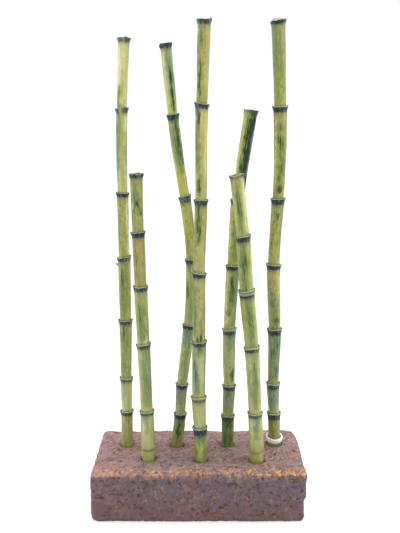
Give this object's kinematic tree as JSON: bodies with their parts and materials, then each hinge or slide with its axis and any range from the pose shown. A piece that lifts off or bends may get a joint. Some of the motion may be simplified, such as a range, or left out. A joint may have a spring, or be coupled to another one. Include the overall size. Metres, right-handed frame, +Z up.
{
  "type": "ceramic bamboo cane sculpture",
  "caption": "Glazed ceramic bamboo canes of mixed heights standing in blind sockets in a rough brick-shaped block of fired clay, one with a white collar at its foot.",
  "frame": {"origin": "centre of the clay block's flat underside", "axes": "+Z up along the canes, +X to the right along the block's length, +Y to the back, so the front faces -Y"},
  "size_m": [0.24, 0.115, 0.5525],
  "materials": {
    "fired_clay": "unglazed fired clay, mauve brown with rust flecks, pitted",
    "green_glaze": "satin yellow-green glaze with blue-green brush strokes and dark joint rings",
    "white_glaze": "smooth white glaze"
  },
  "bodies": {
    "root": {"base_block": "fired_clay", "tall_left_cane": "green_glaze", "short_left_cane": "green_glaze", "bowed_cane": "green_glaze", "tall_middle_cane": "green_glaze", "leaning_cane": "green_glaze", "short_right_cane": "green_glaze", "tall_right_cane": "green_glaze", "foot_collar": "white_glaze"}
  },
  "joints": []
}
